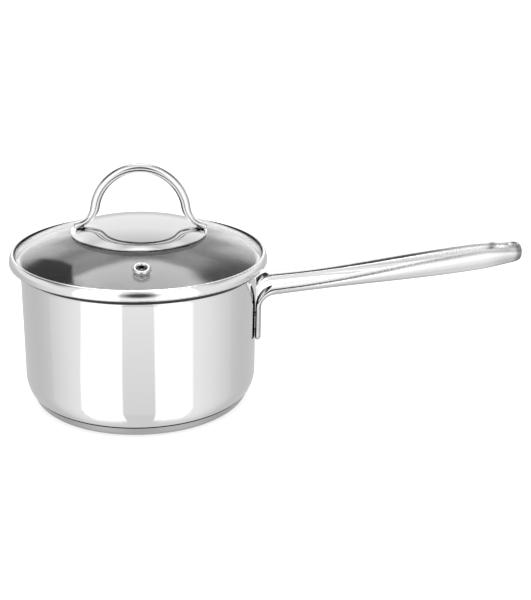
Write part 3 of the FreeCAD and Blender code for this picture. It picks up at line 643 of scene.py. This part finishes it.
def handle_steel():
    """Polished rod: mirror bright by the pan, softer inside its loop, with painted reflections
    along its sides and painted shade behind its legs.
    """
    material = steel("handle_mirror_steel", turned=False, stretch=(0.05, 1.0, 1.0), lines=0.015)
    tree = material.node_tree
    forward, sideways, up = axes_of(tree, surface_normal(tree))
    x, y, _ = axes_of(tree, plain_coordinates(tree))
    upward = straight(tree, up, -1.0, 1.0)
    on_outside = ramp(tree, product(tree, sideways, y), *HANDLE_SIDE_BLEND)
    on_inside = opposite(tree, on_outside)
    # painted reflections and shade on the rod's sides and round its loop
    shade_handle_sides(material, x, upward, on_outside, on_inside)
    shade_handle_loop(material, x, forward, on_outside, on_inside)
    softness = ramp(tree, x, *INSIDE_SOFTENS, 0.0, INSIDE_BLUR)
    soften(material, product(tree, on_inside, softness))
    # painted shade on the back of each welded leg, where it faces the pan
    toward_pan = ramp(tree, facing(tree, -1.0, 0.0), *LEG_BACK_STARTS)
    painted_leg_shade = product(tree, toward_pan, fall(tree, x, *WELDED_LEG_FADES))
    darken(material, painted_leg_shade, LEG_BACK_PAINTED_SHADE)
    return material


# painted reflections: greys round the arch's rod, from facing its middle at 0 to facing away from
# it at 1
ARCH_PAINTED_REFLECTIONS = (
    (0.0, 0.25), (0.08, 0.30), (0.15, 0.95), (0.36, 0.95), (0.385, 0.10), (0.425, 0.10),
    (0.45, 0.95), (0.83, 0.95), (0.88, 0.56), (1.0, 0.42))
ARCH_MIDDLE = (0.0012, 0.0, 0.130)
ARCH_PLANE = (1.0, 0.0, 1.0)    # keeps x and z
# painted reflections: greys of the knob's plate by how far it faces the front, and the painted
# dark reflection on the band's inner lip
PLATE_PAINTED_REFLECTION = ((0.0, 1.0), (0.10, 1.0), (0.24, 0.66))
LIP_STARTS = (0.15, 0.45)
LIP_PAINTED_REFLECTION = 0.10


def arch_steel():
    """Polished rod with painted reflections: greyer along its outer edge, with dark lines inside.
    """
    material = steel("arch_mirror_steel", turned=False, stretch=(0.3, 1.0, 0.3), lines=0.015)
    tree = material.node_tree
    from_middle = vector_calc(tree, "SUBTRACT", plain_coordinates(tree), ARCH_MIDDLE)
    in_its_plane = vector_calc(tree, "MULTIPLY", from_middle, ARCH_PLANE)
    out = vector_calc(tree, "NORMALIZE", in_its_plane)
    outward = vector_calc(tree, "DOT_PRODUCT", surface_normal(tree), out, output="Value")
    # painted reflections round the rod
    shade_by(material, straight(tree, outward, -1.0, 1.0), ARCH_PAINTED_REFLECTIONS)
    return material


def band_steel():
    """Polished strip, with a painted dark reflection on the lip that turns in towards the glass.
    """
    material = steel("band_mirror_steel", rough=(0.07, 0.10))
    tree = material.node_tree
    # painted dark reflection on the inward-facing lip
    darken(material, ramp(tree, facing(tree, -1.0, 0.0), *LIP_STARTS), LIP_PAINTED_REFLECTION)
    return material


def plate_steel():
    """Polished plate, a little greyer on its turned-down front edge: a painted darker reflection.
    """
    material = steel("plate_polished_steel", rough=(0.03, 0.07), lines=0.02)
    tree = material.node_tree
    forward = calc(tree, "MULTIPLY", axes_of(tree, surface_normal(tree))[1], -1.0)
    # painted reflection: the front edge's bright reflection dimmed
    shade_by(material, forward, PLATE_PAINTED_REFLECTION)
    return material


GLASS_COLOUR = (0.975, 0.985, 0.982, 1.0)
GLASS_IOR = 1.5
GLASS_SMEARS = (0.5, 0.8)
GLASS_BLUR = 0.02
GLASS_WAVE_SHARE = 0.02
GLASS_WAVE_DEPTH = 0.0005
SILICONE_DUST = (0.4, 0.75)
SILICONE_GRAIN = (0.3, 0.7)
SILICONE_ROUGH = (0.38, 0.55)
SILICONE_GRAIN_SHARE = 0.15
SILICONE_GRAIN_DEPTH = 0.0002


def glass(name):
    """Clear glass with faint smears and slow waves."""
    material, tree, shader = new_material(name)
    place = plain_coordinates(tree)
    smears = noise(tree, place, scale=35.0, detail=4.0, roughness=0.6)
    shader.inputs["Base Color"].default_value = GLASS_COLOUR
    shader.inputs["Transmission Weight"].default_value = 1.0
    shader.inputs["IOR"].default_value = GLASS_IOR
    blur = ramp(tree, smears, *GLASS_SMEARS, 0.0, GLASS_BLUR)
    tree.links.new(blur, shader.inputs["Roughness"])
    waves = noise(tree, place, scale=30.0, detail=1.0, roughness=0.4)
    add_bump(tree, shader, waves, GLASS_WAVE_SHARE, GLASS_WAVE_DEPTH)
    return material


def silicone(name, dark, light):
    """Semi matt silicone, a fine grain and a little dust, between two greys."""
    material, tree, shader = new_material(name)
    place = plain_coordinates(tree)
    grain = noise(tree, place, scale=900.0, detail=2.0, roughness=0.6)
    dust = noise(tree, place, scale=60.0, detail=4.0, roughness=0.6)
    dustiness = ramp(tree, dust, *SILICONE_DUST)
    colours = mix_colour(tree, dustiness, (*dark, 1.0), (*light, 1.0))
    tree.links.new(colours, shader.inputs["Base Color"])
    blur = ramp(tree, grain, *SILICONE_GRAIN, *SILICONE_ROUGH)
    tree.links.new(blur, shader.inputs["Roughness"])
    add_bump(tree, shader, grain, SILICONE_GRAIN_SHARE, SILICONE_GRAIN_DEPTH)
    return material


MATERIALS = {
    "pan_steel": pan_steel(),
    "base_steel": base_steel(),
    "core_aluminium": steel(
        "core_rolled_aluminium", (0.70, 0.70, 0.70), (0.3, 0.45), 0.1, turned=False),
    "handle_steel": handle_steel(),
    "weld_steel": steel(
        "weld_bare_steel", (0.42, 0.41, 0.40), (0.35, 0.6), 0.1, turned=False, dull=0.3),
    "lid_glass_clear": glass("lid_clear_glass"),
    "band_steel": band_steel(),
    "seal_silicone": silicone("seal_dark_silicone", (0.018, 0.018, 0.018), (0.04, 0.04, 0.04)),
    "plate_steel": plate_steel(),
    "arch_steel": arch_steel(),
    "fastener_steel": steel("fastener_plain_steel", (0.5, 0.5, 0.5), (0.25, 0.35), 0.1),
    "pad_silicone": silicone("pad_dark_silicone", (0.03, 0.03, 0.03), (0.06, 0.06, 0.06)),
    "eyelet_steel": steel("eyelet_polished_steel", (0.58, 0.58, 0.58), turned=False),
    "grommet_silicone": silicone("grommet_pale_silicone", (0.55, 0.56, 0.55), (0.7, 0.7, 0.7)),
}

for subpart in frame["record"]["subparts"]:
    carried = frame["nodes"][subpart["node"]]
    for material_slot in carried.material_slots:
        material_slot.material = MATERIALS[subpart["material_slot"]]
